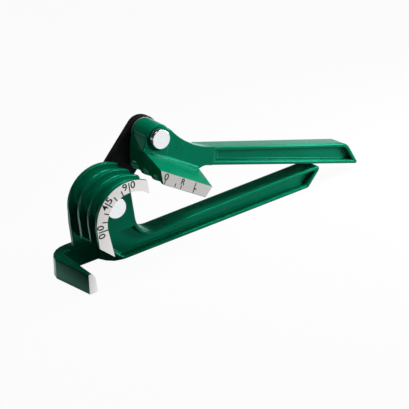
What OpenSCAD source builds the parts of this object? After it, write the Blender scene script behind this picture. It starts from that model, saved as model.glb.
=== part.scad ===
// Hand tube bender with three grooves, shown folded: a lower lever with the former and hook,
// an upper lever with the sliding shoe, and one steel link behind them that carries both pivots.
// X runs along the lower handle, Y runs to the back, Z is up from the flat base under the tool.

/* [Tubes] */
// Outside diameter of the tube in the front groove
tube_small = 6.35; // [5:0.05:7]
// Outside diameter of the tube in the middle groove
tube_mid = 7.94; // [7:0.05:9]
// Outside diameter of the tube in the rear groove
tube_large = 9.53; // [8.5:0.05:11]
// Width of a groove beyond its tube
groove_clear = 0.15; // [0.05:0.05:0.4]

/* [Former] */
// Radius of the former's ridges, which is the bend radius at the tube's middle
former_r = 22; // [20:0.5:25]
// Height of the former's axis above the base
axis_h = 32; // [30:0.5:36]
// Thickness of the front ridge
ridge_front = 2.4; // [1.6:0.1:4]
// Thickness of the ridge between the front and middle grooves
ridge_small = 3.2; // [2:0.1:5]
// Thickness of the ridge between the middle and rear grooves
ridge_large = 3.9; // [2:0.1:5]
// Thickness of the rear flange
flange_t = 3.6; // [2.5:0.1:6]
// Radial width of the scale face
scale_w = 6.2; // [5.4:0.1:7]
// Distance from the axis to the flat end of the former past the 90 mark
beak_x = 10.8; // [9:0.1:12]
// Straight run of the grooves below the 0 mark
lead_in = 8.6; // [6:0.1:10]
// Slope of the lip's end below the straight run
lip_angle = 48; // [42:1:54]
// Depth of the web behind the scale face
web_depth = 22.5; // [20:0.5:25]
// Width of the rim round the lower lever's pocket at the sloping edge
web_rim = 2; // [1.5:0.1:3]
// How far the rear flange leans out towards the hook at the base
flange_lean = 1.4; // [0:0.1:2]

/* [Hook] */
// Height of the hook's finger
hook_h = 11; // [9:0.5:13]
// Gap from the former's ridges to the tip of the finger
hook_gap = 5.9; // [5.6:0.1:9]
// How much wider the gap is at the root of the finger
hook_flare = 2.7; // [0:0.1:4]
// Thickness of the finger at its tip
hook_tip_t = 3.6; // [2.5:0.1:5]
// Thickness of the finger at its root
hook_root_t = 7.2; // [6:0.1:9]
// Thickness of the arm behind the tube's path
hook_arm_t = 8.8; // [7.6:0.1:11]
// Radius of the hook's outer corner
hook_round = 12; // [5:0.5:12.5]

/* [Handles] */
// Length of a handle along its outer edge
handle_l = 107; // [90:0.5:125]
// Height of a handle at its root
handle_h_root = 10; // [8:0.1:12]
// Height of a handle at its end
handle_h_end = 12.8; // [10:0.1:15]
// Width of a handle from front to back
handle_w = 12.8; // [11:0.1:14]
// Reach of the slanted end beyond the outer edge
handle_slant = 11.6; // [6:0.1:14]
// Width of the rim round a handle's pocket
handle_rim = 1.9; // [1.4:0.1:2.5]
// Depth of the pockets in a handle
pocket_d = 4.4; // [2:0.1:5]
// Length of the ramp at the start of the upper handle's pocket
pocket_ramp = 5.6; // [3:0.1:9]
// Where the upper handle's pocket starts, from the start of its outer edge
pocket_start = 7; // [5:0.5:12]
// Where the lower handle's straight part starts, from the former's axis
root_x = 22; // [20:0.5:26]
// Fillet between the web and the lower handle
root_fillet = 11; // [8:0.5:12]

/* [Upper lever] */
// Distance from the shoe pin down to the shoe's ridges along the link's line
shoe_clear = 1.3; // [0.8:0.1:2]
// Reach of the shoe's ledge beyond the ridges at the handle's end
ledge_reach = 4.8; // [3:0.1:6]
// Length of the shoe's ridges
shoe_l = 28.7; // [24:0.1:34]
// Height of the shoe's scale face
shoe_face_h = 6.7; // [5.6:0.1:8]
// Rise of the shoe's sloping ledge from the scale face to the web
ledge_rise = 5.4; // [4:0.1:7]
// Radius of the pivot boss where it meets the washer
boss_r = 8.2; // [7.8:0.1:9]
// How much smaller the boss is at its front
boss_draft = 0.5; // [0:0.1:0.8]
// Height of the boss's pad in front of the web
pad_t = 0.7; // [0.3:0.1:1.5]
// Thickness of the neck between the boss and the handle
neck_t = 7; // [5:0.1:9]
// Angle from the shoe to the handle's outer edge
handle_turn = 17; // [15:0.5:19]
// Distance along the shoe from the pin to the start of the handle's outer edge
handle_start = 32; // [30:0.5:36]
// Height of the handle's outer edge over the pin at its start
handle_lift = 3.6; // [2.5:0.1:4.5]

/* [Link and pins] */
// Distance between the two pivots
link_l = 44.3; // [42:0.1:48]
// Angle of the link above the base in the folded pose
link_angle = 44.2; // [40:0.1:50]
// Radius of the link's ends
link_r = 9; // [8:0.1:10]
// Thickness of the link
link_t = 4.8; // [3:0.1:6]
// Radius of both pins
pin_r = 4; // [3:0.1:5]
// Radius of the former pin's flat head
former_head_r = 6.9; // [5.5:0.1:8]
// Thickness of the former pin's flat head
former_head_t = 1.1; // [0.8:0.1:2]
// Radius of the shoe pin's head
shoe_head_r = 5.7; // [5.2:0.1:6.2]
// Thickness of the shoe pin's head
shoe_head_t = 4.4; // [3:0.1:5]
// Bevel round the shoe pin's head
head_bevel = 0.7; // [0.3:0.1:1]
// Thickness of the washers between the levers and the link
washer_t = 0.5; // [0.3:0.05:0.8]
// Thickness of the retaining rings
ring_t = 0.9; // [0.6:0.05:1.2]
// Depth of the groove that holds a retaining ring
ring_groove = 0.7; // [0.4:0.05:1]
// Radial width of a retaining ring
ring_w = 2.6; // [2:0.1:3.5]

/* [Fits] */
// Radial clearance of the pins in the levers
run_fit = 0.05; // [0.02:0.01:0.09]
// Axial play between parts that turn on each other
play = 0.05; // [0.02:0.01:0.15]
// Gap between the two handles where they meet in the folded pose
rest_gap = 0.4; // [0.3:0.1:1]

/* [Marks] */
// Width of the graduation marks
mark_w = 0.8; // [0.5:0.1:1.2]
// Depth of the graduation marks
mark_d = 0.3; // [0.2:0.05:0.5]
// Length of the short marks
mark_l = 3; // [2:0.1:4]
// Length of the long marks
mark_long = 5.2; // [3:0.1:5.4]

/* [Hidden] */
$fn = 96;
eps = 0.01;
big = 400;
green = [0.00, 0.43, 0.31];
steel_black = [0.11, 0.11, 0.115];
steel_bright = [0.86, 0.87, 0.88];
zinc = [0.70, 0.71, 0.72];

// Places from front to back, counted from the scale face
tubes = [tube_small, tube_mid, tube_large];
groove_w = [for (d = tubes) d + groove_clear];
groove_y = [
    ridge_front + groove_w[0] / 2,
    ridge_front + groove_w[0] + ridge_small + groove_w[1] / 2,
    ridge_front + groove_w[0] + ridge_small + groove_w[1] + ridge_large + groove_w[2] / 2
];
flange_y = groove_y[2] + groove_w[2] / 2;
body_y = flange_y + flange_t;
handle_back = web_depth + handle_w;
pad_y = web_depth - pad_t;
link_y = body_y + play + washer_t + play;
link_back = link_y + link_t;
ring_y = link_back + play;
pin_end = ring_y + ring_t + 1.3;
front_y = -(web_depth + handle_w / 2);

// Lower lever, seen from the front with the former's axis at zero
ring_r = former_r - scale_w;
lip_tip = [-ring_r + 1.2, -lead_in - (former_r - ring_r + 1.2) * tan(lip_angle)];
web_cut = lead_in + web_rim * sqrt(2);
cut_x = -former_r + (axis_h - web_cut);
handle_top = handle_h_root - axis_h;
arm_y = flange_y + 0.2;
finger_tip = -former_r - hook_gap;
finger_root = finger_tip - hook_flare;

// Upper lever, seen from the front with the shoe pin at zero and the shoe along +x
shoe_drop = link_l - former_r - shoe_clear;
shoe_top = -shoe_drop + shoe_face_h + ledge_rise;
shoe_left = -0.6;
shoe_right = shoe_left + shoe_l;
shoe_left_top = [shoe_left - 4.7, -shoe_drop + shoe_face_h];
shoe_end_slope = 0.29;
saddle_r = 45;
heel = (boss_r - boss_draft) * [-cos(33), -sin(33)];
outer_at = [handle_start, handle_lift];
outer_dir = [cos(handle_turn), sin(handle_turn)];
inner_dir = [sin(handle_turn), -cos(handle_turn)];
saddle_at = outer_at + 6 * outer_dir - saddle_r * inner_dir;
flare = atan((handle_h_end - handle_h_root) / (handle_l + handle_slant));

// The folded pose: the upper handle's inner edge lies just over the lower handle's end
shoe_pin_at = link_l * [cos(link_angle), sin(link_angle)];
end_at = [root_x + handle_l + handle_slant, handle_h_end - axis_h];
inner_at = outer_at + handle_h_root * inner_dir;
inner_normal = [cos(90 + handle_turn - flare), sin(90 + handle_turn - flare)];
inner_offset = inner_at * inner_normal;
reach = end_at - shoe_pin_at;
rest_normal = atan2(reach[1], reach[0]) + acos((inner_offset - rest_gap) / norm(reach));
rest_turn = rest_normal - (90 + handle_turn - flare);

function unit(v) = v / norm(v);

// Arc that rounds the corner q between p and s; a positive or negative turn both work
function corner(p, q, s, r, n = 7) =
    let (
        a = unit(p - q),
        b = unit(s - q),
        half = acos(a * b) / 2,
        c = q + unit(a + b) * r / sin(half),
        from = q + a * r / tan(half) - c,
        side = a[0] * b[1] - a[1] * b[0] > 0 ? -1 : 1,
        sweep = 180 - 2 * half
    )
    [for (i = [0:n])
        let (t = side * sweep * i / n)
        c + [from[0] * cos(t) - from[1] * sin(t), from[0] * sin(t) + from[1] * cos(t)]];

// Outline with rounded corners from points [x, y, radius]; radius zero keeps the corner sharp
function rounded(pts) =
    let (n = len(pts), xy = [for (p = pts) [p[0], p[1]]])
    [for (i = [0:n - 1])
        each pts[i][2] == 0
            ? [xy[i]]
            : corner(xy[(i + n - 1) % n], xy[i], xy[(i + 1) % n], pts[i][2])];

// Extrudes an outline drawn in X and Z from depth y0 to depth y1 behind the scale face
module plate(y0, y1) {
    translate([0, y1, 0])
        rotate([90, 0, 0])
            linear_extrude(height = y1 - y0)
                children();
}

// Round bar along Y between two depths
module bar(r, y0, y1) {
    translate([0, y1, 0])
        rotate([90, 0, 0])
            cylinder(r = r, h = y1 - y0);
}

// Puts what is drawn about the former's axis and the scale face into the part's frame
module at_former() {
    translate([0, front_y, axis_h])
        children();
}

// Puts what is drawn about the shoe pin into the part's frame, in the folded pose
module at_shoe() {
    at_former()
        translate([shoe_pin_at[0], 0, shoe_pin_at[1]])
            rotate([0, -rest_turn, 0])
                children();
}

// Puts what lies along the link at its outer pivot
module at_link_end() {
    at_former()
        translate([shoe_pin_at[0], 0, shoe_pin_at[1]])
            children();
}

// Material in a square inner corner that opens towards +x and +y
module inner_fillet(at, r) {
    translate(at)
        difference() {
            translate([-eps, -eps])
                square(r + eps);
            translate([r, r])
                circle(r);
        }
}

// Handle outline: the outer edge runs along +x from zero, and the inner edge is above it
module handle_outline(start) {
    polygon(rounded([
        [start, 0, 0],
        [handle_l, 0, 4],
        [handle_l + handle_slant, handle_h_end, 1.2],
        [0, handle_h_root, 0],
        [start, handle_h_root, 0]
    ]));
}

// Pocket inside a handle's rim
module pocket_outline(start) {
    polygon(rounded([
        [start, handle_rim, 1],
        [handle_l - handle_rim * 0.4, handle_rim, 2],
        [handle_l + handle_slant - handle_rim * 2.6, handle_h_end - handle_rim, 1],
        [start, handle_h_root - handle_rim + start * tan(flare), 1]
    ]));
}

// Upper half of the former, cut off flat past the 90 mark
module former_arc() {
    intersection() {
        circle(former_r);
        translate([-big / 2, 0])
            square([big / 2 + beak_x, big]);
    }
}

// Ring and lip that carry the scale
module scale_outline() {
    difference() {
        former_arc();
        circle(ring_r);
    }
    polygon([[-former_r, 0], [-former_r, -lead_in], lip_tip, [-ring_r, 0]]);
}

// Web behind the ring, with the sloping edge under the tube's path
module web_outline() {
    former_arc();
    polygon([
        [-former_r, 0], [-former_r, -web_cut], [cut_x, -axis_h],
        [root_x, -axis_h], [root_x, handle_top], [beak_x, handle_top], [beak_x, 0]
    ]);
    inner_fillet([beak_x, handle_top], root_fillet);
}

// Rear flange, which runs down to the hook's arm
module flange_outline() {
    former_arc();
    polygon([
        [-former_r, 0], [-former_r - flange_lean, -axis_h],
        [beak_x, -axis_h], [beak_x, 0]
    ]);
}

// Front pocket of the lower lever where it widens into the web
module web_pocket_outline() {
    top = -web_depth * 0.62;
    left = lip_tip[0] + 1;
    right = beak_x - handle_rim;
    floor_z = handle_rim - axis_h;
    slope_x = cut_x + web_rim * sqrt(2) - handle_rim;
    difference() {
        union() {
            polygon([
                [left, top], [right, top], [right, handle_top - handle_rim],
                [root_x + 6, handle_top - handle_rim], [root_x + 6, floor_z],
                [slope_x, floor_z], [left, floor_z + slope_x - left]
            ]);
            inner_fillet([right, handle_top - handle_rim], root_fillet + handle_rim);
        }
        translate([-big / 2, top])
            square([big, big]);
    }
}

// Grooves round the former and straight down past the 0 mark
module former_grooves() {
    for (i = [0:2]) {
        translate([0, groove_y[i], 0]) {
            intersection() {
                rotate([90, 0, 0])
                    rotate_extrude()
                        translate([former_r, 0])
                            circle(groove_w[i] / 2);
                translate([-big / 2, -big / 2, 0])
                    cube(big);
            }
            translate([-former_r, 0, eps - axis_h - 1])
                cylinder(d = groove_w[i], h = axis_h + 1);
        }
    }
}

// Hook that holds the tube: an arm behind the tube's path and a finger that runs to the front
module hook() {
    finger_back = arm_y + hook_arm_t;
    translate([0, 0, -axis_h])
        linear_extrude(height = hook_h)
            polygon(rounded([
                [finger_tip, 0, 0],
                [finger_root, arm_y, 0],
                [-former_r / 2, arm_y, 0],
                [-former_r / 2, finger_back, 3],
                [finger_root - hook_root_t - 0.5, finger_back, hook_round],
                [finger_root - hook_root_t, arm_y - 5, 2],
                [finger_tip - hook_tip_t, 0, 0]
            ]));
}

// Gusset low down between the web's sloping edge and the hook's arm
module gusset() {
    translate([0, 0, -axis_h])
        linear_extrude(height = hook_h * 0.7)
            polygon([
                [cut_x, web_depth], [cut_x - 3.9, web_depth + 2], [cut_x - 7.1, web_depth + 6],
                [cut_x - 9.6, arm_y], [cut_x, arm_y]
            ]);
}

// Graduations on the ring: long marks at 0, 45 and 90, short ones every 15 between
module former_marks() {
    for (a = [0:15:90]) {
        l = a % 45 == 0 ? mark_long : mark_l;
        rotate([0, a, 0])
            translate([-ring_r - l, -eps, -mark_w / 2])
                cube([l + 1, mark_d + eps, mark_w]);
    }
}

// Lower lever: former, hook and handle in one painted casting, with a bare scale face
module former_handle() {
    color(green)
        at_former()
            difference() {
                union() {
                    plate(0, body_y) scale_outline();
                    plate(web_depth, flange_y) web_outline();
                    plate(flange_y - eps, body_y) flange_outline();
                    plate(web_depth, handle_back)
                        translate([root_x, -axis_h])
                            handle_outline(-root_x + cut_x + 12);
                    hook();
                    gusset();
                }
                former_grooves();
                plate(web_depth - eps, web_depth + pocket_d) {
                    web_pocket_outline();
                    translate([root_x, -axis_h]) pocket_outline(5);
                }
                plate(handle_back - pocket_d, handle_back + eps)
                    translate([root_x, -axis_h]) pocket_outline(5);
                bar(pin_r + run_fit, -eps, body_y + eps);
                former_marks();
            }
}

// Outline of the skirt that joins the boss to the shoe
module skirt_outline() {
    polygon([
        [0, 0], heel, [shoe_left_top[0] - 0.9, shoe_top - 1], [boss_r + 1.6, shoe_top - 1],
        [boss_r + 0.5, -4], [boss_r - boss_draft, -1]
    ]);
}

// Boss round the shoe pin, drawn in a little towards the front
module boss() {
    translate([0, body_y, 0])
        rotate([90, 0, 0])
            cylinder(r1 = boss_r, r2 = boss_r - boss_draft, h = body_y - pad_y);
}

// Neck from the boss to the handle, hollowed by the saddle above it
module neck_outline() {
    difference() {
        polygon([
            heel, [shoe_left_top[0] - 0.9, shoe_top - 1], [shoe_right + ledge_reach, shoe_top - 1],
            [shoe_right + ledge_reach, shoe_top], inner_at + [0.4, -0.6], inner_at + 2.5 * outer_dir + [0, -0.1], inner_at + 4 * outer_dir,
            outer_at + 6 * outer_dir, [outer_at[0], boss_r + 1], [1.5, boss_r - boss_draft]
        ]);
        translate(saddle_at)
            circle(saddle_r);
    }
}

// Shoe: a bar with a sloping ledge, chamfered where the tube slides in
module shoe_block() {
    intersection() {
        plate(0, body_y)
            polygon([
                [shoe_left, -shoe_drop],
                [shoe_right, -shoe_drop],
                [shoe_right + shoe_end_slope * shoe_face_h, -shoe_drop + shoe_face_h],
                [shoe_right + ledge_reach, shoe_top],
                [shoe_left_top[0] - 0.9, shoe_top],
                shoe_left_top,
                [shoe_left - 2.8, -shoe_drop + 2.1]
            ]);
        translate([-big / 2, 0, 0])
            rotate([90, 0, 90])
                linear_extrude(height = big)
                    polygon([
                        [0, -shoe_drop - 1], [body_y, -shoe_drop - 1], [body_y, shoe_top],
                        [pad_y, shoe_top], [0, -shoe_drop + shoe_face_h]
                    ]);
    }
}

// Ramp from the rim down to the floor at the start of the upper handle's pocket
module ramp() {
    floor_y = web_depth + pocket_d;
    top = handle_h_root - handle_rim + pocket_start * tan(flare);
    translate([outer_at[0], 0, outer_at[1]])
        mirror([0, 0, 1])
            rotate([0, handle_turn, 0])
                translate([0, 0, handle_rim - eps])
                    linear_extrude(height = top - handle_rim + 2 * eps)
                        polygon([
                            [pocket_start - 1, web_depth + 0.6], [pocket_start - 1, floor_y + 0.5],
                            [pocket_start + pocket_ramp, floor_y + 0.5],
                            [pocket_start + pocket_ramp, floor_y], [pocket_start, web_depth + 0.6]
                        ]);
}

// Half-round grooves along the shoe, in line with the former's
module shoe_grooves() {
    for (i = [0:2])
        translate([-big / 2, groove_y[i], -shoe_drop])
            rotate([0, 90, 0])
                cylinder(d = groove_w[i], h = big);
}

// Setting marks on the shoe's scale face
module shoe_marks() {
    for (x = [shoe_left, shoe_left + 7, shoe_left + 11, shoe_left + 19.6])
        translate([x - mark_w / 2, -eps, -shoe_drop - eps])
            cube([mark_w, mark_d + eps, mark_l * 0.8]);
}

// Upper lever: boss, shoe and handle in one painted casting, with a bare scale face
module shoe_handle() {
    color(green)
        at_shoe() {
            ramp();
            difference() {
                union() {
                    boss();
                    plate(pad_y, body_y) skirt_outline();
                    plate(web_depth, web_depth + neck_t) neck_outline();
                    plate(web_depth, handle_back)
                        translate(outer_at)
                            mirror([0, 1])
                                rotate(-handle_turn)
                                    handle_outline(0);
                    shoe_block();
                }
                shoe_grooves();
                plate(web_depth - eps, web_depth + pocket_d)
                    translate(outer_at)
                        mirror([0, 1])
                            rotate(-handle_turn)
                                pocket_outline(pocket_start);
                plate(handle_back - pocket_d, handle_back + eps)
                    translate(outer_at)
                        mirror([0, 1])
                            rotate(-handle_turn)
                                pocket_outline(pocket_start);
                bar(shoe_head_r + 0.9, pad_y - eps, web_depth);
                bar(pin_r + run_fit, pad_y - eps, body_y + eps);
                shoe_marks();
            }
        }
}

// Straight-sided outline with round ends, along +x from one pivot to the other
module link_outline() {
    translate([0, -link_r])
        square([link_l, 2 * link_r]);
    intersection() {
        circle(link_r);
        translate([-big, -big / 2])
            square(big);
    }
    translate([link_l, 0])
        intersection() {
            circle(link_r);
            translate([0, -big / 2])
                square(big);
        }
}

// Link: one blackened steel strap behind both levers
module link() {
    color(steel_black)
        at_former()
            difference() {
                plate(link_y, link_back)
                    rotate(link_angle)
                        link_outline();
                bar(pin_r, link_y - eps, link_back + eps);
                translate([shoe_pin_at[0], 0, shoe_pin_at[1]])
                    bar(pin_r, link_y - eps, link_back + eps);
            }
}

// Plain pin shank with the groove for its retaining ring and a bevelled end
module shank(y0) {
    difference() {
        bar(pin_r, y0, pin_end);
        difference() {
            bar(pin_r + 1, ring_y, ring_y + ring_t + play);
            bar(pin_r - ring_groove, ring_y - eps, ring_y + ring_t + play + eps);
        }
    }
}

// Former pin: a wide flat head on the web
module former_pin() {
    color(steel_bright)
        at_former() {
            bar(former_head_r, web_depth - play - former_head_t, web_depth - play);
            shank(web_depth - play - eps);
        }
}

// Shoe pin: a tall polished head with a bevelled rim, seated in the boss
module shoe_pin() {
    seat = web_depth - play;
    color(steel_bright)
        at_link_end() {
            bar(shoe_head_r, seat - shoe_head_t + head_bevel, seat);
            translate([0, seat - shoe_head_t + head_bevel, 0])
                rotate([90, 0, 0])
                    cylinder(r1 = shoe_head_r, r2 = shoe_head_r - head_bevel, h = head_bevel);
            shank(seat - eps);
        }
}

// Thrust washer between a lever and the link
module washer() {
    color(zinc)
        difference() {
            bar(link_r, body_y + play, body_y + play + washer_t);
            bar(pin_r + run_fit, body_y, link_y);
        }
}

module former_washer() {
    at_former() washer();
}

module shoe_washer() {
    at_link_end() washer();
}

// Retaining ring, open on one side, in the groove of a pin
module retaining_ring() {
    inner = pin_r - ring_groove + run_fit;
    color(zinc)
        difference() {
            bar(inner + ring_w, ring_y + play / 2, ring_y + play / 2 + ring_t);
            bar(inner, ring_y - eps, ring_y + ring_t + 1);
            translate([-inner, ring_y - eps, -big])
                cube([2 * inner, ring_t + 1, big]);
        }
}

module former_ring() {
    at_former() retaining_ring();
}

module shoe_ring() {
    at_link_end() retaining_ring();
}

former_handle();
shoe_handle();
link();
former_pin();
shoe_pin();
former_washer();
shoe_washer();
former_ring();
shoe_ring();
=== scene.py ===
import math

import bmesh
import bpy
from mathutils import Matrix, Vector


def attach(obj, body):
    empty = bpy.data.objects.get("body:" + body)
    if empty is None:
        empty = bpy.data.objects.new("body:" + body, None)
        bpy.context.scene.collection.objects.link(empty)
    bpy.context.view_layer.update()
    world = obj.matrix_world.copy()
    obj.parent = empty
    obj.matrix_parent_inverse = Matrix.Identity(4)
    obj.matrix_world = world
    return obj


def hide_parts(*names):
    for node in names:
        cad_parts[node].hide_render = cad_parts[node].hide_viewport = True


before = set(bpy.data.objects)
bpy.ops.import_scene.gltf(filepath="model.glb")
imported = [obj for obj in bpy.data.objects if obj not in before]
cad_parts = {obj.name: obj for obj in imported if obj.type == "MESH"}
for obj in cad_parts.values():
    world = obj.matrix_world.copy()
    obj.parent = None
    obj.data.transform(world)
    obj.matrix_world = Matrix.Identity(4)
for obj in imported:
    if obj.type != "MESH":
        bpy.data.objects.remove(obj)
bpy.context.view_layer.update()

# Setting: the tool rests on a white sweep under soft studio light, seen from the front left
# and a little above. The floor shows white and keeps a faint shadow. Mirrored in the tool, it
# carries painted shade at the front left and a painted shadow close under the former.
scene = bpy.context.scene
scene.view_settings.view_transform = "Standard"


class Shade:
    """A value in a material. Sums and products become Math nodes, and node() makes any other."""

    def __init__(self, tree, socket=None):
        self.tree, self.socket = tree, socket

    def node(self, kind, settings=None, inputs=None, output=0):
        made = self.tree.nodes.new("ShaderNode" + kind)
        for name, value in (settings or {}).items():
            if name == "stops":
                stops = made.color_ramp.elements
                stops[0].position, stops[0].color = value[0][0], (*value[0][1], 1)
                stops[-1].position, stops[-1].color = value[-1][0], (*value[-1][1], 1)
                for place, colour in value[1:-1]:
                    stops.new(place).color = (*colour, 1)
            else:
                setattr(made, name, value)
        for name, value in (inputs or {}).items():
            if isinstance(value, Shade):
                self.tree.links.new(value.socket, made.inputs[name])
            else:
                made.inputs[name].default_value = value
        return Shade(self.tree, made.outputs[output] if made.outputs else None)

    def math(self, operation, first, second):
        return self.node("Math", {"operation": operation}, {0: first, 1: second})

    def __add__(self, other):
        return self.math("ADD", self, other)

    def __mul__(self, other):
        return self.math("MULTIPLY", self, other)

    __radd__, __rmul__ = __add__, __mul__


def new_finish(name):
    """An empty material and the shade that its nodes are made from."""
    finish = bpy.data.materials.new(name)
    finish.use_nodes = True
    finish.node_tree.nodes.clear()
    return finish, Shade(finish.node_tree)


def grey(level):
    """A grey of one level."""
    return (level, level, level)


sweep, s = new_finish("white_sweep")
camera = s.node("LightPath", output="Is Camera Ray")
mirrored = s.node("LightPath", output="Is Glossy Ray") + s.node("LightPath", output="Is Transmission Ray")
place = s.node("TexCoord", output="Object")
# In reflections the floor is painted darker towards the front left, and a painted shadow lies close under
# the former.
front_left, under_former = (-0.906, -0.423, 0), (-0.012, -0.003, 0)
leftwards = s.node("VectorMath", {"operation": "DOT_PRODUCT"}, {0: place, 1: front_left}, "Value")
painted_dark_side = s.node("ValToRGB", {"stops": [(0.38, grey(1)), (0.52, grey(0.04))]}, {"Fac": 10 * leftwards})
from_former = s.node("VectorMath", {"operation": "DISTANCE"}, {0: place, 1: under_former}, "Value")
shade = s.node("ValToRGB", {"stops": [(0.3, grey(0.1)), (0.5, grey(1))]}, {"Fac": 16 * from_former})
paper = s.node("BsdfDiffuse", inputs={"Color": (0.86, 0.86, 0.86, 1)})
white = s.node("Emission", inputs={"Color": (1, 1, 1, 1), "Strength": 1.0})
shown = s.node("Emission", inputs={"Color": painted_dark_side * shade, "Strength": 1.0})
dull = s.node("BsdfDiffuse", inputs={"Color": (0.05, 0.05, 0.05, 1)})
seen = s.node("MixShader", inputs={0: 0.955, 1: paper, 2: white})
other = s.node("MixShader", inputs={0: mirrored, 1: dull, 2: shown})
s.node("OutputMaterial", inputs={"Surface": s.node("MixShader", inputs={0: camera, 1: other, 2: seen})})

bpy.ops.object.select_all(action="DESELECT")
bpy.ops.mesh.primitive_plane_add(size=8, location=(0, 0, -0.0002))
bpy.ops.object.transform_apply(location=True, rotation=True, scale=True)
floor = bpy.context.object
floor.name = "sweep"
floor.data.materials.append(sweep)

world = bpy.data.worlds.new("studio")
world.use_nodes = True
world.node_tree.nodes.clear()
s = Shade(world.node_tree)
camera = s.node("LightPath", output="Is Camera Ray")
rays = s.node("LightPath", output="Is Glossy Ray") + s.node("LightPath", output="Is Transmission Ray")
height = s.node("SeparateXYZ", inputs={0: s.node("TexCoord", output="Generated")}, output=2)
dome = s.node("ValToRGB", {"stops": [
    (0.0, grey(0.5)), (0.12, grey(0.4)), (0.22, grey(0.05)), (0.5, grey(0.02))]}, {"Fac": height})
glow = s.node("RGBToBW", inputs={0: dome})
s.node("OutputWorld", inputs={"Surface": s.node("Background", inputs={
    "Color": (1, 1, 1, 1), "Strength": 0.006 + camera + rays * glow})})
scene.world = world

# Each lamp has its degrees round to the right from the front, its degrees up, its distance,
# width and height in metres, and its level.
aim = Vector((0.05, 0, 0.03))
for name, side, lift, away, wide, tall, level in (
    ("low_softbox", 56, 7, 0.30, 0.10, 0.10, 1.48),
    ("right_softbox", 88, 35, 0.35, 0.10, 0.14, 1.05),
    ("rim_softbox", 67, 49, 0.305, 0.08, 0.08, 0.45),
    ("high_softbox", 64, 67, 0.30, 0.10, 0.10, 1.15),
    ("overhead_strip", 0, 85, 0.50, 0.30, 0.02, 0.16),
    ("left_softbox", 270, 75, 0.16, 0.05, 0.05, 0.3),
):
    a, e = math.radians(side), math.radians(lift)
    way = Vector((math.sin(a) * math.cos(e), -math.cos(a) * math.cos(e), math.sin(e)))
    light = bpy.data.lights.new(name, "AREA")
    light.shape, light.size, light.size_y = "RECTANGLE", wide, tall
    light.energy = level * math.pi * away ** 2
    lamp = bpy.data.objects.new(name, light)
    lamp.location = aim + way * away
    lamp.rotation_euler = (-way).to_track_quat("-Z", "Y").to_euler()
    scene.collection.objects.link(lamp)

lens = bpy.data.cameras.new("eye")
lens.lens, lens.sensor_width, lens.clip_start = 81.87, 36, 0.01
eye = bpy.data.objects.new("eye", lens)
eye.matrix_world = Matrix((
    (0.83736, 0.31501, -0.44676, -0.18456),
    (-0.53344, 0.29227, -0.79374, -0.43280),
    (-0.11945, 0.90296, 0.41278, 0.23613),
    (0, 0, 0, 1),
))
scene.collection.objects.link(eye)
scene.camera = eye

# Lower lever: a zinc pressure casting with the grooved former, the hook and one handle in
# one piece, sprayed green. The face of the scale ring and the hook's end are milled bare.
# Sizes are in mm from the former's axis, and depths are from the front of the scale ring.
MM = 0.001
RING_FRONT, AXIS_HEIGHT = 28.9, 32
FOOT = -AXIS_HEIGHT


def at_former(x, y, z):
    """A point given in mm from the former's axis, at the front of the scale ring."""
    return Vector((x, y - RING_FRONT, z + AXIS_HEIGHT)) * MM


def rounded(corners):
    """The points of a flat outline whose corners are (x, z, radius)."""
    points = []
    for k, (x, z, radius) in enumerate(corners):
        at = Vector((x, z))
        if radius == 0:
            points.append((x, z))
            continue
        back = (Vector(corners[k - 1][:2]) - at).normalized()
        on = (Vector(corners[(k + 1) % len(corners)][:2]) - at).normalized()
        half = back.angle(on) / 2
        centre = at + (back + on).normalized() * radius / math.sin(half)
        start = at + back * radius / math.tan(half) - centre
        end = at + on * radius / math.tan(half) - centre
        turn = math.atan2(start.x * end.y - start.y * end.x, start.dot(end))
        steps = max(3, math.ceil(abs(turn) / math.radians(9) - 0.05))
        for n in range(steps + 1):
            c, d = math.cos(turn * n / steps), math.sin(turn * n / steps)
            points.append((centre.x + start.x * c - start.y * d, centre.y + start.x * d + start.y * c))
    return points


def edit(piece):
    """Opens one piece alone in edit mode, with nothing on it selected."""
    bpy.ops.object.select_all(action="DESELECT")
    piece.select_set(True)
    bpy.context.view_layer.objects.active = piece
    bpy.ops.object.mode_set(mode="EDIT")
    bpy.ops.mesh.select_all(action="DESELECT")


def pick(piece, kind, test):
    """Selects the faces or edges of the open piece that pass a test."""
    bpy.ops.mesh.select_mode(type=kind)
    bpy.ops.mesh.select_all(action="DESELECT")
    mesh = bmesh.from_edit_mesh(piece.data)
    mesh.normal_update()
    for part in mesh.faces if kind == "FACE" else mesh.edges:
        if test(part):
            part.select_set(True)
    mesh.select_flush_mode()
    bmesh.update_edit_mesh(piece.data)


def loft(name, rings, finish):
    """A closed shell: a disc is set on the first ring of points and extruded from ring to ring."""
    bpy.ops.object.select_all(action="DESELECT")
    bpy.ops.mesh.primitive_circle_add(vertices=len(rings[0]), fill_type="NGON")
    shell = bpy.context.object
    shell.name = shell.data.name = name
    shell.data.materials.append(finish)
    for corner, place in zip(shell.data.vertices, rings[0]):
        corner.co = place
    edit(shell)
    bpy.ops.mesh.select_all(action="SELECT")
    for last, ring in zip(rings, rings[1:]):
        bpy.ops.mesh.extrude_region()
        mesh = bmesh.from_edit_mesh(shell.data)
        for corner in [v for v in mesh.verts if v.select]:
            corner.co = ring[min(range(len(last)), key=lambda k: (last[k] - corner.co).length)]
        bmesh.update_edit_mesh(shell.data)
    bpy.ops.mesh.select_all(action="SELECT")
    bpy.ops.mesh.normals_make_consistent(inside=False)
    bpy.ops.object.mode_set(mode="OBJECT")
    return shell


def plate(name, outline, front, back, place, finish):
    """A flat plate of an outline, between two depths in mm."""
    return loft(name, [[place(x, y, z) for x, z in outline] for y in (front, back)], finish)


def bevel(piece, width, test, steps=4, clamp=True):
    """Rounds the edges that pass a test."""
    edit(piece)
    pick(piece, "EDGE", test)
    bpy.ops.mesh.bevel(offset=width * MM, segments=steps, profile=0.5, affect="EDGES", clamp_overlap=clamp)
    bpy.ops.object.mode_set(mode="OBJECT")


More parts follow.
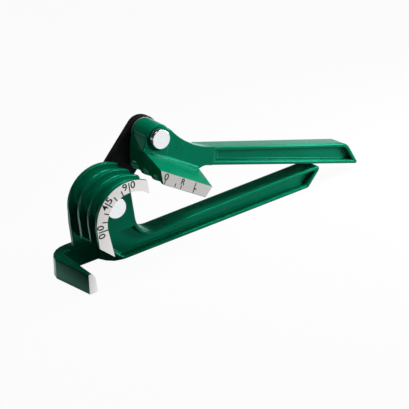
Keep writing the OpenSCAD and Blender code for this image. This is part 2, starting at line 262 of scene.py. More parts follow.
def cut(piece, place, normal):
    """Saws off what stands out past a plane and closes the cut."""
    edit(piece)
    bpy.ops.mesh.select_all(action="SELECT")
    bpy.ops.mesh.bisect(plane_co=place, plane_no=normal, use_fill=True, clear_outer=True)
    bpy.ops.mesh.select_all(action="SELECT")
    bpy.ops.mesh.normals_make_consistent(inside=False)
    bpy.ops.object.mode_set(mode="OBJECT")


def middle(part):
    """The middle of an edge or face, in mm as at_former takes them."""
    start = Vector((0, -RING_FRONT, AXIS_HEIGHT))
    return sum((v.co for v in part.verts), Vector()) / len(part.verts) / MM - start


def meets(edge, first, second):
    """Whether one of an edge's two face normals passes one test and the other the second."""
    if len(edge.link_faces) != 2:
        return False
    a, b = (f.normal for f in edge.link_faces)
    return first(a) and second(b) or first(b) and second(a)


def to_front(n):
    return n.y < -0.95


def to_back(n):
    return n.y > 0.95


def to_side(n):
    return abs(n.y) < 0.4


def arc(y, r, radius, start, end, steps):
    """Points of a profile's arc, as (distance from the axis, depth)."""
    angles = [math.radians(start + (end - start) * k / steps) for k in range(steps + 1)]
    return [(r + radius * math.sin(a), y + radius * math.cos(a)) for a in angles]


green_paint, s = new_finish("green_paint")
place = s.node("TexCoord", output="Object")
cloud = s.node("TexNoise", inputs={"Vector": place, "Scale": 60.0, "Detail": 3.0, "Roughness": 0.6})
peel = s.node("TexNoise", inputs={"Vector": place, "Scale": 1400.0, "Detail": 2.0, "Roughness": 0.5})
colour = s.node("ValToRGB", {"stops": [
    (0.3, (0.0, 0.236, 0.115)), (0.7, (0.0, 0.27, 0.133))]}, {"Fac": cloud})
bump = s.node("Bump", inputs={"Strength": 0.12, "Distance": 0.00012, "Height": peel})
s.node("OutputMaterial", inputs={"Surface": s.node("BsdfPrincipled", inputs={
    "Base Color": colour, "Roughness": 0.13 + 0.08 * cloud, "Normal": bump,
    "Metallic": 0.13, "Specular IOR Level": 0.2, "Specular Tint": (0.1, 1.0, 1.0, 1)})})


def milled_zinc(name, dark, light, metal, turned_by):
    """Bare milled zinc between two greys, with its cutter lines turned by an angle in degrees."""
    finish, s = new_finish(name)
    place = s.node("TexCoord", output="Object")
    lie = s.node("Mapping", inputs={
        "Vector": place, "Rotation": (0, math.radians(turned_by), 0), "Scale": (260, 300, 3200)})
    lines = s.node("TexNoise", inputs={"Vector": lie, "Scale": 1.0, "Detail": 3.0, "Roughness": 0.7})
    grain = s.node("TexNoise", inputs={"Vector": place, "Scale": 900.0, "Detail": 4.0, "Roughness": 0.7})
    colour = s.node("ValToRGB", {"stops": [(0.3, dark), (0.7, light)]}, {"Fac": 0.5 * lines + 0.5 * grain})
    bump = s.node("Bump", inputs={"Strength": 0.15, "Distance": 0.00005, "Height": lines})
    s.node("OutputMaterial", inputs={"Surface": s.node("BsdfPrincipled", inputs={
        "Base Color": colour, "Metallic": metal, "Roughness": 0.3 + 0.14 * lines, "Normal": bump})})
    return finish


ring_zinc = milled_zinc("ring_zinc", (0.90, 0.88, 0.865), (0.98, 0.965, 0.95), 0.9, 24)

BEND_R, RING_R, BORE_R = 22, 15.8, 4.2
WEB_FRONT, FLANGE_BACK = 22.5, 37.37
OVERLAP, INSET = 0.01, 0.02
# Each groove has the depth of its middle and its radius, and the rounds of the ridges beside it.
grooves = ((5.65, 3.25), (16.145, 4.045), (28.93, 4.84))
ridge_rounds = ((0.8, 1.1), (1.1, 1.1), (1.1, 1.0))
crest = [(21.8, 0.0), (21.92, 0.03), (21.98, 0.12), (BEND_R, 0.28)]
for (centre, radius), (before, after) in zip(grooves, ridge_rounds):
    reach = [math.sqrt((radius + f) ** 2 - f ** 2) for f in (before, after)]
    lean = [math.degrees(math.atan2(f, w)) for f, w in zip((before, after), reach)]
    crest += arc(centre - reach[0], BEND_R - before, before, 90, lean[0], 6)
    crest += arc(centre, BEND_R, radius, 180 + lean[0], 360 - lean[1], 20)[1:-1]
    crest += arc(centre + reach[1], BEND_R - after, after, 180 - lean[1], 90, 6)
crest += arc(FLANGE_BACK - 1.0, BEND_R - 1.0, 1.0, 90, 0, 6)
front_crest = [p for p in crest if p[1] < WEB_FRONT] + [(BEND_R, WEB_FRONT)]
rear_crest = [(BEND_R, WEB_FRONT - OVERLAP)] + [p for p in crest if WEB_FRONT < p[1] < 33.6]

profile = crest + [(BORE_R, FLANGE_BACK), (BORE_R, WEB_FRONT), (RING_R, WEB_FRONT), (RING_R, 0)]
former = loft("former", [[at_former(-r, y, 0) for r, y in profile]], green_paint)
edit(former)
bpy.ops.mesh.select_all(action="SELECT")
bpy.ops.mesh.spin(steps=72, angle=-math.pi, center=at_former(0, 0, 0), axis=(0, 1, 0))
bpy.ops.object.mode_set(mode="OBJECT")
cut(former, at_former(10.8, 0, 0), (1, 0, 0))
bevel(former, 1.3, lambda e: meets(e, to_front, lambda n: n.x > 0.95) and middle(e).y > 22,
      clamp=False)
bevel(former, 0.35, lambda e: meets(e, lambda n: n.x > 0.98, lambda n: n.x < 0.9) and middle(e).z > 1
      and not meets(e, to_front, lambda n: n.x > 0.98), 2)


def run_on(name, crest_part, tops, lows):
    """The crest of the ridges, run straight on down from the axis and splayed a little outwards."""
    shapes = []
    for z, splay, inside in ((0, 0, tops), (-30, 1.2, lows)):
        section = [(r + splay, y) for r, y in crest_part] + inside
        shapes.append([at_former(-r, y, z) for r, y in section])
    return loft(name, shapes, green_paint)


lip = run_on("lip", front_crest, [(RING_R, WEB_FRONT), (RING_R, 0)], [(13.66, WEB_FRONT), (13.66, 0)])
cut(lip, at_former(-BEND_R, 0, -9.0), (-8.2, 0, -7.4))
WEB_LEFT = 14.2
web_lip_inside = [(WEB_LEFT, 33.8), (WEB_LEFT, WEB_FRONT - OVERLAP)]
web_lip = run_on("web_lip", rear_crest, web_lip_inside, web_lip_inside)
cut(web_lip, at_former(-BEND_R, 0, -11.43), (-1, 0, -1))
cut(web_lip, at_former(0, 0, -13.6), (0, 0, -1))
bevel(web_lip, 1.2, lambda e: meets(e, to_front, lambda n: n.x < -0.6 and n.z < -0.6))


def drawn_in(corners, distance):
    """An outline's corners moved inwards, with their rounds kept concentric."""
    ahead = corners[1:] + corners[:1]
    side = math.copysign(1, sum(a[0] * b[1] - b[0] * a[1] for a, b in zip(corners, ahead)))
    moved = []
    for k, (x, z, radius) in enumerate(corners):
        here = Vector((x, z))
        a = (here - Vector(corners[k - 1][:2])).normalized()
        b = (Vector(ahead[k][:2]) - here).normalized()
        inward = Vector((-a.y, a.x)) * side
        between = (inward + Vector((-b.y, b.x)) * side).normalized()
        here = here + between * distance / between.dot(inward)
        if radius:
            radius = max(0.3, radius - distance * math.copysign(1, side * (a.x * b.y - a.y * b.x)))
        moved.append((here.x, here.y, radius))
    return moved


def rimmed(name, corners, rim, place, finish, base=-100):
    """A plate above a base, from rings of (distance drawn in, depth, push of the near end)."""
    near = min(c[0] for c in corners)
    rings = []
    for distance, depth, push in rim:
        ring = []
        for x, z in rounded(drawn_in(corners, distance)):
            at_near_end = x < near + distance + 1.5
            ring.append(place(x + push if at_near_end else x, depth, max(z, base)))
        rings.append(ring)
    return loft(name, rings, finish)


def pocket_rim(middle_depth, face, into, outer, push=0):
    """The rim of a handle's pocket: a round outer edge, a narrow land, a drafted wall, the floor."""
    rings = [(0, middle_depth, 0)]
    for k in range(9):
        a = math.radians(11.25 * k)
        rings.append((outer - outer * math.cos(a), face + into * (outer - outer * math.sin(a)), 0))
    inner_edge = ((1.55, 0), (1.84, 0.05), (2.1, 0.18), (2.31, 0.39), (2.45, 0.65), (2.5, 0.95))
    wall_foot = ((2.53, 3.7), (2.6, 4.0), (2.78, 4.25), (3.05, 4.37), (3.5, 4.4))
    land, bottom = 0.1, 4.4
    for distance, depth in inner_edge + wall_foot:
        pushed = push * max(0, depth - land) / (bottom - land)
        rings.append((distance, face + into * depth, pushed))
    return rings


ROOT_R, WEB_RIGHT = 11, 11.2
MID_DEPTH, LOWER_BACK = 29, 36.4
root_arc = []
for degrees in range(6, 91, 6):
    a = math.radians(degrees)
    root_arc.append((WEB_RIGHT + ROOT_R - ROOT_R * math.cos(a), -11 - ROOT_R * math.sin(a), 0))
root_inside = [(x - INSET, z) for x, z, _ in root_arc]
handle_end = [(143.2, -20.2, 2.0), (130.3, -32.8, 4.0)]
web = plate("web", [(-WEB_LEFT, 1.5), (-11, 11), (WEB_RIGHT, 11), (WEB_RIGHT, -11)] + root_inside[:3]
            + [(-WEB_LEFT, -15.3)], WEB_FRONT - OVERLAP, 33.9, at_former, green_paint)
bevel(web, 1.3, lambda e: meets(e, to_front, to_side) and middle(e).x > 11)
tray = rimmed("tray", root_arc + handle_end + [(-0.63, -32.8, 0.4), (-19.83, -13.6, 0)],
              pocket_rim(MID_DEPTH, WEB_FRONT, 1, 1.1), at_former, green_paint, FOOT)
tray_back = rimmed("tray_back", [(25.1, -21.93, 0)] + handle_end + [(25.1, -32.8, 0)],
                   pocket_rim(MID_DEPTH, LOWER_BACK, -1, 0.6), at_former, green_paint, FOOT)
root_back = plate("root_back", [(5, -11), (WEB_RIGHT - INSET, -11)] + root_inside
                  + [(26.6, -21.91), (26.6, FOOT + OVERLAP), (5, FOOT + OVERLAP)],
                  MID_DEPTH - 0.1, LOWER_BACK + OVERLAP, at_former, green_paint)
bevel(root_back, 0.6, lambda e: meets(e, to_back, to_side) and 10 < middle(e).x < 26.5)

flange = plate("flange", rounded([
    (-BEND_R, 0, 0), (WEB_RIGHT - INSET, 0, 0), (WEB_RIGHT - INSET, FOOT + INSET, 0),
    (-27, FOOT + INSET, 0), (-27, -20.65, 0), (-23.3, -20.65, 3.6), (-22.7, -6, 0)]),
    33.77, FLANGE_BACK, at_former, green_paint)
bevel(flange, 0.5, lambda e: (meets(e, to_front, to_side) or meets(e, to_back, to_side))
      and middle(e).z < -0.1 and middle(e).x < -20 and middle(e).z > -22)
bevel(flange, 0.8, lambda e: meets(e, to_back, lambda n: n.x > 0.9))


def hook_section(outer, inner, high, outer_top=1.0, inner_top=(0.8, 0.8)):
    """One section of the hook between two points of its plan, with its four corners rounded."""
    width = (Vector(inner) - Vector(outer)).length
    outer_low, inner_low = 0.3, 1.6
    spread, drawn = 0.9, 0.4
    corners = ((outer_low - spread, outer_low, outer_low, FOOT + outer_low, 180, 270),
               (width - inner_low, inner_low, inner_low, FOOT + inner_low, 270, 360),
               (width - inner_top[0], *inner_top, high - inner_top[1], 0, 90),
               (outer_top + drawn, outer_top, outer_top, high - outer_top, 90, 180))
    points = []
    for s0, wide, tall, z0, start, end in corners:
        for k in range(7):
            a = math.radians(start + (end - start) * k / 6)
            part = (s0 + wide * math.cos(a)) / width
            x, y = (o + (i - o) * part for o, i in zip(outer, inner))
            points.append(at_former(x, y, z0 + tall * math.sin(a)))
    return points


HOOK_TOP, HOOK_REAR, HOOK_INSIDE = -20.4, 43.3, 33.75
bend_at = Vector((-25.3, 29.5))
sections = []
for part in (0, 0.25, 0.5, 0.75, 1.0):
    sections.append(hook_section(
        (-31.5 - 5.85 * part, MID_DEPTH * part), (-27.6 - 2.65 * part, MID_DEPTH * part),
        -20.8 + 0.4 * part, 0.5 + 0.5 * part, (2.4 - 1.6 * part, 4.0 - 3.2 * part)))
for angle, inner in ((178, (-30.35, 30.9)), (160, (-30.45, 32.6)), (142, (-30.4, 33.55)),
                     (124, (-29.7, 33.74)), (107, (-28.2, HOOK_INSIDE)), (90, (-26.3, HOOK_INSIDE))):
    a = math.radians(angle)
    outer = (bend_at.x + 12.05 * math.cos(a), bend_at.y + 13.8 * math.sin(a))
    sections.append(hook_section(outer, inner, HOOK_TOP))
sections.append(hook_section((-11, HOOK_REAR), (-11, HOOK_INSIDE), HOOK_TOP))
hook = loft("hook", sections, green_paint)
gusset_plan = ((0.8, 22.7), (-1.4, 22.95), (-5.2, 24.6), (-8.4, 28.5), (-11.0, 34.5), (0.8, 34.5))
gusset = loft("gusset", [[at_former(x, y, z) for x, y in gusset_plan] for z in (FOOT + 0.05, -24.3)],
              green_paint)
cut(gusset, at_former(-0.2, 0, FOOT), (1, 0, 1))
bevel(gusset, 0.9, lambda e: meets(e, lambda n: n.z > 0.9, lambda n: abs(n.z) < 0.2))


def mill(piece, test, finish):
    """Gives the faces that pass a test a bare milled finish."""
    piece.data.materials.append(finish)
    edit(piece)
    pick(piece, "FACE", test)
    piece.active_material_index = 1
    bpy.ops.object.material_slot_assign()
    bpy.ops.object.mode_set(mode="OBJECT")


for shell in (former, lip, hook):
    mill(shell, lambda f: to_front(f.normal) and middle(f).y < 0.02, ring_zinc)


def gather(name, shells):
    """Joins the shells of one piece, with smooth rounds and flat faces."""
    bpy.ops.object.select_all(action="DESELECT")
    for shell in shells:
        shell.select_set(True)
    bpy.context.view_layer.objects.active = shells[0]
    if len(shells) > 1:
        bpy.ops.object.join()
    piece = shells[0]
    piece.name = piece.data.name = name
    bpy.ops.object.shade_smooth_by_angle(angle=math.radians(32))
    weigh = piece.modifiers.new("flats", "WEIGHTED_NORMAL")
    weigh.keep_sharp, weigh.weight = True, 60
    bpy.ops.object.modifier_apply(modifier=weigh.name)
    return piece


# Marks on the scale ring: ticks every 15 degrees and the numbers 0, 45 and 90, each split
# by its long tick. They are sunk in the casting and keep the green paint when it is milled.
sunk_paint_with_painted_shade, s = new_finish("sunk_paint_with_painted_shade")
place = s.node("TexCoord", output="Object")
wear = s.node("TexNoise", inputs={"Vector": place, "Scale": 900.0, "Detail": 3.0})
# The marks' green is the paint's, drawn far darker as painted shade of the sunk hollows, since the inlays
# lie flush with the face.
colour = s.node("ValToRGB", {"stops": [
    (0.3, (0.001, 0.016, 0.010)), (0.75, (0.002, 0.035, 0.022))]}, {"Fac": wear})
s.node("OutputMaterial", inputs={"Surface": s.node("BsdfPrincipled", inputs={
    "Base Color": colour, "Roughness": 0.5 + 0.2 * wear, "Specular IOR Level": 0.2})})


def figure(text, wide, tall, heavy, place, lean):
    """One figure facing the front, as a thin inlay at a place, leaning by an angle in degrees."""
    bpy.ops.object.select_all(action="DESELECT")
    bpy.ops.object.text_add()
    mark = bpy.context.object
    mark.data.body, mark.data.offset, mark.data.resolution_u = text, heavy, 6
    bpy.ops.object.convert(target="MESH")
    mark = bpy.context.object
    bpy.ops.object.origin_set(type="ORIGIN_GEOMETRY", center="BOUNDS")
    mark.scale = (wide * MM / mark.dimensions.x, tall * MM / mark.dimensions.y, 1)
    mark.location, mark.rotation_euler = place, (math.pi / 2, math.radians(lean), 0)
    bpy.ops.object.transform_apply(location=True, rotation=True, scale=True)
    return inlay(mark)


def inlay(mark):
    """Gives a flat mark its thickness, from just proud of the face to just under it."""
    proud, thick = 0.02, 0.1
    mark.data.materials.clear()
    mark.data.materials.append(sunk_paint_with_painted_shade)
    edit(mark)
    bpy.ops.mesh.select_all(action="SELECT")
    bpy.ops.mesh.remove_doubles(threshold=0.002 * MM)
    bpy.ops.transform.translate(value=(0, -proud * MM, 0))
    bpy.ops.mesh.extrude_region_move(TRANSFORM_OT_translate={"value": (0, thick * MM, 0)})
    bpy.ops.mesh.select_all(action="SELECT")
    bpy.ops.mesh.normals_make_consistent(inside=False)
    bpy.ops.object.mode_set(mode="OBJECT")
    return mark


def tick(corners):
    """One straight tick as a thin inlay between four corners."""
    bpy.ops.object.select_all(action="DESELECT")
    bpy.ops.mesh.primitive_circle_add(vertices=4, fill_type="NGON")
    mark = bpy.context.object
    for corner, place in zip(mark.data.vertices, corners):
        corner.co = place
    return inlay(mark)


RING_TICK = 0.31
lower_shells = [former, lip, web_lip, web, tray, tray_back, root_back, flange, hook, gusset]
for angle in range(0, 91, 15):
    a = math.radians(angle)
    out, along = Vector((-math.cos(a), math.sin(a))), Vector((math.sin(a), math.cos(a)))
    near, far = RING_R + 0.05, 21.2 if angle % 45 == 0 else 18.8
    corners = [out * r + along * side * RING_TICK
               for r, side in ((near, -1), (far, -1), (far, 1), (near, 1))]
    lower_shells.append(tick([at_former(p.x, 0, p.y) for p in corners]))
for text, angle, r in (("0", -6.8, 19.9), ("0", 6.8, 19.9), ("4", 38.6, 19.8), ("5", 51.2, 19.8),
                       ("9", 82.8, 19.7), ("0", 96.4, 19.7)):
    a = math.radians(angle)
    spot = at_former(-r * math.cos(a), 0, r * math.sin(a))
    lower_shells.append(figure(text, 2.7, 3.9, 0.015, spot, angle - 90))
lower_lever = gather("lower_lever", lower_shells)
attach(lower_lever, "lower")
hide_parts("former_handle")

# Former pin: a bright plated steel rivet with a wide thin head, turned in one piece. It is
# pressed into the link, and the lower lever turns on it.
bright_steel, s = new_finish("bright_steel")
place = s.node("TexCoord", output="Object")
scratch = s.node("TexNoise", inputs={"Vector": place, "Scale": 700.0, "Detail": 4.0, "Roughness": 0.7})
colour = s.node("ValToRGB", {"stops": [
    (0.3, (0.80, 0.82, 0.85)), (0.7, (0.86, 0.88, 0.905))]}, {"Fac": scratch})
s.node("OutputMaterial", inputs={"Surface": s.node("BsdfPrincipled", inputs={
    "Base Color": colour, "Metallic": 1.0, "Roughness": 0.10 + 0.08 * scratch})})


def turned(name, profile, place, finish):
    """A piece turned on a lathe: a profile of (distance from the axis, depth) spun right round."""
    piece = loft(name, [[place(r, y, 0) for r, y in profile]], finish)
    edit(piece)
    bpy.ops.mesh.select_all(action="SELECT")
    bpy.ops.mesh.delete(type="ONLY_FACE")
    axis = place(0, 0, 0)
    pick(piece, "EDGE", lambda e: all((v.co - axis).xz.length < 1e-6 for v in e.verts))
    bpy.ops.mesh.delete(type="EDGE")
    bpy.ops.mesh.select_all(action="SELECT")
    bpy.ops.mesh.spin(steps=72, angle=2 * math.pi, center=axis, axis=(0, 1, 0))
    bpy.ops.mesh.select_all(action="SELECT")
    bpy.ops.mesh.remove_doubles(threshold=0.003 * MM)
    bpy.ops.mesh.select_all(action="SELECT")
    bpy.ops.mesh.normals_make_consistent(inside=False)
    bpy.ops.object.mode_set(mode="OBJECT")
    return piece


def turned_piece(name, profile, place, finish):
    """A turned piece that is whole by itself."""
    return gather(name, [turned(name, profile, place, finish)])


PIN_R, PIN_END, RING_GROOVE_R = 4.0, 45.02, 3.35
pin_shank = [(PIN_R, 22.45), (PIN_R, 42.82), (RING_GROOVE_R, 42.82), (RING_GROOVE_R, 43.75),
             (PIN_R, 43.75), (PIN_R, 44.62), (PIN_R - 0.4, PIN_END), (0, PIN_END)]
flat_head = [(0, 20.8), (5.6, 20.8), (5.8, 20.88), (5.88, 21.1), (5.88, 22.3), (5.75, 22.45)]
former_pin = turned_piece("former_pin_turned", flat_head + pin_shank, at_former, bright_steel)
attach(former_pin, "link")
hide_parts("former_pin")

# Former washer: a thin flat washer stamped from plain steel. It lies loose on the former pin,
# between the lower lever and the link.
plain_steel, s = new_finish("plain_steel")
place = s.node("TexCoord", output="Object")
grain = s.node("TexNoise", inputs={"Vector": place, "Scale": 1100.0, "Detail": 5.0, "Roughness": 0.65})
stain = s.node("TexNoise", inputs={"Vector": place, "Scale": 180.0, "Detail": 3.0})
colour = s.node("ValToRGB", {"stops": [
    (0.3, (0.34, 0.34, 0.33)), (0.7, (0.5, 0.5, 0.49))]}, {"Fac": 0.6 * stain + 0.4 * grain})
bump = s.node("Bump", inputs={"Strength": 0.1, "Distance": 0.00005, "Height": grain})
s.node("OutputMaterial", inputs={"Surface": s.node("BsdfPrincipled", inputs={
    "Base Color": colour, "Metallic": 1.0, "Roughness": 0.38 + 0.2 * grain, "Normal": bump})})
washer = [(4.25, 37.4), (8.1, 37.4), (8.2, 37.5), (8.2, 37.82), (8.1, 37.92), (4.25, 37.92)]
former_washer = turned_piece("former_washer_ring", washer, at_former, plain_steel)
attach(former_washer, "link")
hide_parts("former_washer")

# Link: a flat steel strap with round ends, blanked and blackened, with its edges tumbled.
# Both pins are pressed into it, so it holds the levers side by side.
black_steel, s = new_finish("black_steel")
place = s.node("TexCoord", output="Object")
grain = s.node("TexNoise", inputs={"Vector": place, "Scale": 1300.0, "Detail": 4.0, "Roughness": 0.6})
bloom = s.node("TexNoise", inputs={"Vector": place, "Scale": 120.0, "Detail": 4.0})
colour = s.node("ValToRGB", {"stops": [
    (0.3, (0.010, 0.0095, 0.010)), (0.75, (0.022, 0.020, 0.021))]}, {"Fac": bloom})
bump = s.node("Bump", inputs={"Strength": 0.2, "Distance": 0.00006, "Height": grain})
s.node("OutputMaterial", inputs={"Surface": s.node("BsdfPrincipled", inputs={
    "Base Color": colour, "Roughness": 0.42 + 0.2 * bloom, "Normal": bump, "Specular IOR Level": 0.12})})

LINK_L, LINK_ANGLE, LINK_HALF = 44.3, math.radians(44.2), 9.5
along = Vector((math.cos(LINK_ANGLE), math.sin(LINK_ANGLE)))
across = Vector((-along.y, along.x))
shoe_pin_at = along * LINK_L
outline = []
for start, reach, first in ((0, 9.3, 90), (LINK_L, 8.9, 270)):
    for k in range(25):
        a = math.radians(first + 180 * k / 24)
        point = along * (start + reach * math.cos(a)) + across * (LINK_HALF * math.sin(a))
        outline.append(tuple(point))
strap = plate("link_strap", outline, 37.97, 42.77, at_former, black_steel)
bevel(strap, 0.5, lambda e: meets(e, to_front, to_side) or meets(e, to_back, to_side), 3)
strap = gather("link_strap", [strap])
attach(strap, "link")
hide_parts("link")

# Upper lever: a second zinc casting with the boss round its pin, the grooved shoe and the
# other handle, sprayed the same green. The front of the shoe is milled bare for its scale.
rest_turn = math.radians(-32.8947)


def at_shoe(u, y, v):
    """A point given in mm from the shoe's pin, along the lever's own slope."""
    c, d = math.cos(rest_turn), math.sin(rest_turn)
    return at_former(shoe_pin_at.x + u * c - v * d, y, shoe_pin_at.y + u * d + v * c)


def on_lever(part):
    """The middle of an edge or face in the upper lever's own measures."""
    m = middle(part)
    c, d = math.cos(rest_turn), math.sin(rest_turn)
    x, z = m.x - shoe_pin_at.x, m.z - shoe_pin_at.y
    return Vector((x * c + z * d, m.y, z * c - x * d))


handle_turn = math.radians(17)
outer_at = Vector((32, 3.6))
outer_dir = Vector((math.cos(handle_turn), math.sin(handle_turn)))
inner_dir = Vector((outer_dir.y, -outer_dir.x))


def on_handle(x, z):
    """A point of the upper handle, from its outer edge's start, along it and inwards."""
    return outer_at + outer_dir * x + inner_dir * z


def at_handle(x, y, z):
    """The same, with a depth, in the part's own measures."""
    point = on_handle(x, z)
    return at_shoe(point.x, y, point.y)


saddle, SADDLE_R = Vector((23.65, 46.41)), 43.4
saddle_start, saddle_end = 247.2, 288.3
outline = [(1.0, 7.5), (4.2, 7.0)]
for k in range(13):
    a = math.radians(saddle_start + (saddle_end - saddle_start) * k / 12)
    outline.append((saddle.x + SADDLE_R * math.cos(a), saddle.y + SADDLE_R * math.sin(a)))
outline += [on_handle(6.5, INSET), on_handle(6.5, 10.92), (38.4, -5.75), (37.5, -6.0), (36.4, -6.5),
            (35.4, -7.2), (33.2, -9.3), (32.9, -10.2), (1.0, -10.2)]
neck = plate("neck", [tuple(p) for p in outline], WEB_FRONT - OVERLAP, MID_DEPTH + 0.5, at_shoe,
             green_paint)


def handle_x(part):
    """How far along the upper handle an edge or face lies."""
    m = on_lever(part)
    return (Vector((m.x, m.z)) - outer_at).dot(outer_dir)


bevel(neck, 1.4, lambda e: (meets(e, to_front, to_side) or meets(e, to_back, to_side))
      and handle_x(e) < 6.45 and on_lever(e).z > -9.5 and on_lever(e).x > 3.5)
grip = [(5.1, 0, 0), (107, 0, 9.0), (119.2, 13.5, 1.2), (5.1, 10.9, 0)]
UPPER_BACK, POCKET_PUSH = 35.3, 4.8
arm = rimmed("arm", grip, pocket_rim(MID_DEPTH, WEB_FRONT, 1, 1.1, POCKET_PUSH), at_handle, green_paint)
arm_back = rimmed("arm_back", grip, pocket_rim(MID_DEPTH, UPPER_BACK, -1, 0.6, POCKET_PUSH),
                  at_handle, green_paint)
arm_root = plate("arm_root", [(-1.3, INSET), (6.5, INSET), (6.5, 10.9), (-1.3, 10.7)],
                 MID_DEPTH - 0.1, UPPER_BACK + OVERLAP, at_handle, green_paint)
bevel(arm_root, 0.6, lambda e: meets(e, to_back, to_side) and handle_x(e) < 6.4)
bevel(arm_root, 0.5, lambda e: all(to_side(f.normal) for f in e.link_faces) and handle_x(e) < -1.2)

PAD_FRONT = 21.5
boss = turned("boss", [
    (4.1, WEB_FRONT), (6.1, WEB_FRONT), (6.1, 21.65), (6.2, PAD_FRONT), (7.05, PAD_FRONT), (7.4, 21.57),
    (7.67, 21.75), (7.81, 22.0), (7.86, 22.3), (8.2, 36.5), (8.08, 37.1), (7.83, FLANGE_BACK),
    (4.1, FLANGE_BACK)], at_shoe, green_paint)


def skirt_section(y, shoulder, heel, foot):
    """The skirt's outline at one depth: its left side as given, then its foot and its right side."""
    right = [(9.9, -9.9), (9.35, -6), (8.75, -4), (8.75, -2.6), (8.75, -1.0), (8.5, 0.9), (7.9, 2.6),
             (6.8, 4.0), (4, 2.0)]
    return [at_shoe(u, y, v) for u, v in [(-4, 0.5), shoulder, heel, (foot, -9.9)] + right]


skirt = loft("skirt", [skirt_section(PAD_FRONT, (-7.6, -0.6), (-6.35, -8.6), -6.2),
                       skirt_section(37.3, (-8.16, -0.6), (-8.0, -1.6), -5.85)], green_paint)
bevel(skirt, 1.2, lambda e: all(to_side(f.normal) for f in e.link_faces)
      and -8.2 < on_lever(e).x < -6.2 and -7 < on_lever(e).z < -3)
bevel(skirt, 0.95, lambda e: meets(e, to_front, to_side) and on_lever(e).x > 6.7 and on_lever(e).z > -9.8)
bevel(skirt, 0.5, lambda e: meets(e, to_front, to_side) and on_lever(e).x < -5.5 and on_lever(e).z > -9.8)
ejector_ring = [(2.0, 22.6), (2.0, 22.46), (2.1, 22.4), (2.35, 22.4), (2.45, 22.46), (2.45, 22.6)]
ejector = turned("ejector", ejector_ring, lambda r, y, z: at_shoe(16 + r, y, z - 1), green_paint)

TREAD, HEEL, LEDGE_FRONT, LEDGE_BACK, LEDGE_DEEP = -21, -18.9, -14.3, -8.9, 21.8
COVE_DEEP, COVE_TALL = 2.0, 1.8
fillets = []
for name, start, end, front in (("pad_fillet", -6.15, 9.9, PAD_FRONT),
                                ("neck_fillet", 9.85, 32.7, WEB_FRONT)):
    foot = LEDGE_FRONT + (LEDGE_BACK - LEDGE_FRONT) * (front - COVE_DEEP) / LEDGE_DEEP
    cove = []
    for degrees in range(0, 91, 15):
        a = math.radians(degrees)
        cove.append((front - COVE_DEEP * (1 - math.sin(a)), foot + COVE_TALL * (1 - math.cos(a))))
    cove += [(front + 0.3, foot + COVE_TALL), (front + 0.3, foot - 0.4), (front - COVE_DEEP, foot - 0.4)]
    fillets.append(loft(name, [[at_shoe(u, y, v) for y, v in cove] for u in (start, end)], green_paint))

EDGE_R = 0.5
ledge = [(0, LEDGE_FRONT), (LEDGE_DEEP, LEDGE_BACK), (FLANGE_BACK, LEDGE_BACK)]
tread = [(FLANGE_BACK, TREAD + 0.4), (FLANGE_BACK - 0.4, TREAD)]
for centre, radius in reversed(grooves):
    reach = math.sqrt((radius + EDGE_R) ** 2 - EDGE_R ** 2)
    lean = math.degrees(math.atan2(EDGE_R, reach))
    tread += [(y, v) for v, y in arc(centre + reach, TREAD + EDGE_R, EDGE_R, -90, -180 + lean, 4)]
    tread += [(y, v) for v, y in arc(centre, TREAD, radius, lean, 180 - lean, 20)[1:-1]]
    tread += [(y, v) for v, y in arc(centre - reach, TREAD + EDGE_R, EDGE_R, -lean, -90, 4)]
tread += [(0.2, TREAD), (0, TREAD + 0.2)]


def shoe_ends(v):
    """Where the shoe's two ends lie at one height, in mm along the lever."""
    left = ((TREAD, -0.6), (HEEL, -3.4), (LEDGE_FRONT, -5.3), (LEDGE_BACK, -6.2))
    right = ((TREAD, 28.1), (LEDGE_FRONT, 30.04), (LEDGE_BACK, 32.9))
    found = []
    for steps in (left, right):
        for (v0, u0), (v1, u1) in zip(steps, steps[1:]):
            if v <= v1 or v1 == steps[-1][0]:
                found.append(u0 + (u1 - u0) * (v - v0) / (v1 - v0))
                break
    return found


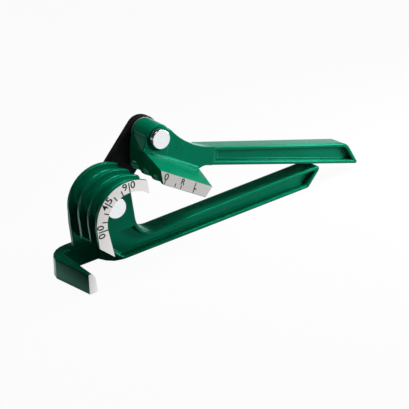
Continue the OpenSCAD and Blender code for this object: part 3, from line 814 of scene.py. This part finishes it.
shoe = loft("shoe", [[at_shoe(shoe_ends(v)[end], y, v) for y, v in ledge + tread] for end in (0, 1)],
            green_paint)
edit(shoe)
up_lever = at_shoe(0, 0, 1) - at_shoe(0, 0, 0)
for v in (HEEL, LEDGE_FRONT):
    bpy.ops.mesh.select_all(action="SELECT")
    bpy.ops.mesh.bisect(plane_co=at_shoe(0, 0, v), plane_no=up_lever)
bpy.ops.object.mode_set(mode="OBJECT")
shoe_zinc = milled_zinc("shoe_zinc", (0.56, 0.54, 0.525), (0.76, 0.745, 0.73), 0.75, 33)
mill(shoe, lambda f: to_front(f.normal) and middle(f).y < 0.02, shoe_zinc)

# Marks on the shoe: 0, R and L with a tick under each and one short tick between, sunk and
# painted like those of the ring, with the same painted shade.
SHOE_TICK = 0.29
upper_shells = [neck, arm, arm_back, arm_root, boss, skirt, ejector, *fillets, shoe]
for u, low, high in ((-0.4, -20.7, -18.3), (6.5, -20.2, -18.4), (10.4, -20.5, -18.5), (19.0, -20.5, -18.6)):
    left, right = u - SHOE_TICK, u + SHOE_TICK
    corners = [(left, low), (right, low), (right, high), (left, high)]
    upper_shells.append(tick([at_shoe(x, 0, z) for x, z in corners]))
for text, u, v, wide, tall in (("0", -0.6, -16.5, 2.6, 3.7), ("R", 10.7, -16.5, 2.6, 3.5),
                               ("L", 19.5, -16.6, 1.9, 3.9)):
    upper_shells.append(figure(text, wide, tall, 0.014, at_shoe(u, 0, v), -math.degrees(rest_turn)))
upper_lever = gather("upper_lever", upper_shells)
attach(upper_lever, "upper")
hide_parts("shoe_handle")

# Shoe washer: the same thin washer stamped from plain steel. It lies loose on the shoe pin,
# between the boss and the link.
shoe_washer = turned_piece("shoe_washer_ring", washer, at_shoe, plain_steel)
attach(shoe_washer, "link")
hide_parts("shoe_washer")

# Shoe pin: a pin of the same bright plated steel with a tall chamfered head, turned in one
# piece. It is pressed into the link, and the upper lever turns on it.
tall_head = [(0, 18.05), (5.05, 18.05), (5.22, 18.1), (5.38, 18.25), (5.5, 18.5), (5.92, 20.6),
             (5.92, 22.3), (5.8, 22.45)]
shoe_pin = turned_piece("shoe_pin_turned", tall_head + pin_shank, at_shoe, bright_steel)
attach(shoe_pin, "link")
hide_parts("shoe_pin")

# Retaining rings: snap rings stamped from spring steel, one sprung into the groove at each
# pin's tail behind the link. They keep the shape of the solids and get a plain steel finish.
for node in ("former_ring", "shoe_ring"):
    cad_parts[node].data.materials.clear()
    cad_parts[node].data.materials.append(plain_steel)
